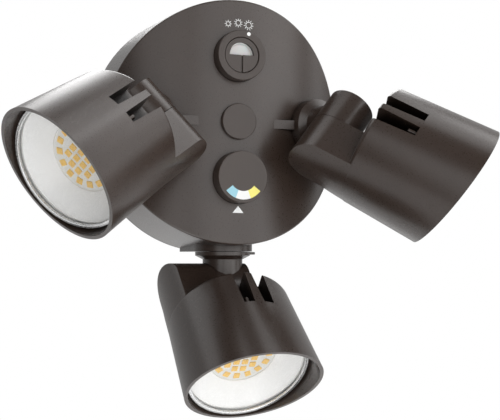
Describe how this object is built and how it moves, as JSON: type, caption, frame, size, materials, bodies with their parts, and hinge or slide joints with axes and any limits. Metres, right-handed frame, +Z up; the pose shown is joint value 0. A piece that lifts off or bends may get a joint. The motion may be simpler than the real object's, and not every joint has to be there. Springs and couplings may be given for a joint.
{
  "type": "flood light",
  "caption": "Wall-mounted security flood light: round canopy with brightness and colour dials and a photocell, carrying swivelling, tilting lamp heads on knuckle arms.",
  "frame": {"origin": "centre of the mounting bar's back face, in the wall plane behind the canopy's middle", "axes": "+X to the right seen from the front, +Y into the wall, +Z up"},
  "size_m": [0.3224, 0.1708, 0.2847],
  "materials": {
    "bronze": "die-cast aluminium with a fine dark bronze powder coat",
    "bronze_plastic": "fine matte texture",
    "black_plastic": "matte",
    "white_plastic": "satin",
    "diffuser": "opal",
    "rubber": "matte",
    "zinc_steel": "zinc plated",
    "circuit_board": "solder mask",
    "led_board": "white solder mask",
    "led_package": "phosphor gel",
    "reflector": "white satin",
    "lens": "clear",
    "bezel": "bright satin"
  },
  "bodies": {
    "canopy": {"canopy_housing": "bronze", "wall_gasket": "rubber", "mounting_bar": "zinc_steel", "center_bolt": "zinc_steel", "center_plug": "bronze_plastic", "brightness_switch": "black_plastic", "photocell_tube": "white_plastic", "photocell_diffuser": "diffuser", "photocell_sensor": "diffuser", "colour_switch": "black_plastic", "driver_board": "circuit_board", "driver_components": "black_plastic", "driver_screws": "zinc_steel", "driver_cover": "black_plastic", "lead_bushing": "rubber", "swivel_seals": "rubber"},
    "brightness": {"brightness_dial": "bronze_plastic", "brightness_clip": "black_plastic"},
    "shutter": {"photocell_shutter": "bronze_plastic"},
    "colour": {"colour_dial": "bronze_plastic", "colour_clip": "black_plastic"},
    "left_arm": {"left_swivel_arm": "bronze", "left_swivel_nut": "zinc_steel"},
    "left_head": {"left_head_housing": "bronze", "left_pivot_bolt": "zinc_steel", "left_friction_washer": "zinc_steel", "left_led_board": "led_board", "left_led_chips": "led_package", "left_led_screws": "zinc_steel", "left_reflector": "reflector", "left_lens_gasket": "rubber", "left_lens": "lens", "left_bezel": "bezel"},
    "right_arm": {"right_swivel_arm": "bronze", "right_swivel_nut": "zinc_steel"},
    "right_head": {"right_head_housing": "bronze", "right_pivot_bolt": "zinc_steel", "right_friction_washer": "zinc_steel", "right_led_board": "led_board", "right_led_chips": "led_package", "right_led_screws": "zinc_steel", "right_reflector": "reflector", "right_lens_gasket": "rubber", "right_lens": "lens", "right_bezel": "bezel"},
    "lower_arm": {"lower_swivel_arm": "bronze", "lower_swivel_nut": "zinc_steel"},
    "lower_head": {"lower_head_housing": "bronze", "lower_pivot_bolt": "zinc_steel", "lower_friction_washer": "zinc_steel", "lower_led_board": "led_board", "lower_led_chips": "led_package", "lower_led_screws": "zinc_steel", "lower_reflector": "reflector", "lower_lens_gasket": "rubber", "lower_lens": "lens", "lower_bezel": "bezel"}
  },
  "joints": [
    {"name": "left_swivel", "type": "hinge", "parent": "canopy", "child": "left_arm", "pos_m": [-0.06034, -0.06172, 0], "axis": [-0.304, -0.9527, 0], "range_deg": [-130, 40]},
    {"name": "left_tilt", "type": "hinge", "parent": "left_arm", "child": "left_head", "pos_m": [-0.06779, -0.08506, 0], "axis": [-0.6375, 0.2034, 0.7431], "range_deg": [-13, 75]},
    {"name": "right_swivel", "type": "hinge", "parent": "canopy", "child": "right_arm", "pos_m": [0.06034, -0.06172, 0], "axis": [0.304, -0.9527, 0], "range_deg": [-40, 130]},
    {"name": "right_tilt", "type": "hinge", "parent": "right_arm", "child": "right_head", "pos_m": [0.06779, -0.08506, 0], "axis": [-0.6375, -0.2034, -0.7431], "range_deg": [-13, 75]},
    {"name": "lower_swivel", "type": "hinge", "parent": "canopy", "child": "lower_arm", "pos_m": [0, -0.0368, -0.0867], "axis": [0, 0, -1], "range_deg": [-40, 40]},
    {"name": "lower_tilt", "type": "hinge", "parent": "lower_arm", "child": "lower_head", "pos_m": [0, -0.0368, -0.1112], "axis": [-1, 0, 0], "range_deg": [-19, 9]},
    {"name": "brightness_turn", "type": "hinge", "parent": "canopy", "child": "brightness", "pos_m": [0, -0.0684, 0.0438], "axis": [0, -1, 0], "range_deg": [0, 36]},
    {"name": "shutter_turn", "type": "hinge", "parent": "canopy", "child": "shutter", "pos_m": [0, -0.0684, 0.0438], "axis": [0, -1, 0], "range_deg": [0, 180]},
    {"name": "colour_turn", "type": "hinge", "parent": "canopy", "child": "colour", "pos_m": [0, -0.0684, -0.0378], "axis": [0, -1, 0], "range_deg": [-30, 30]}
  ]
}
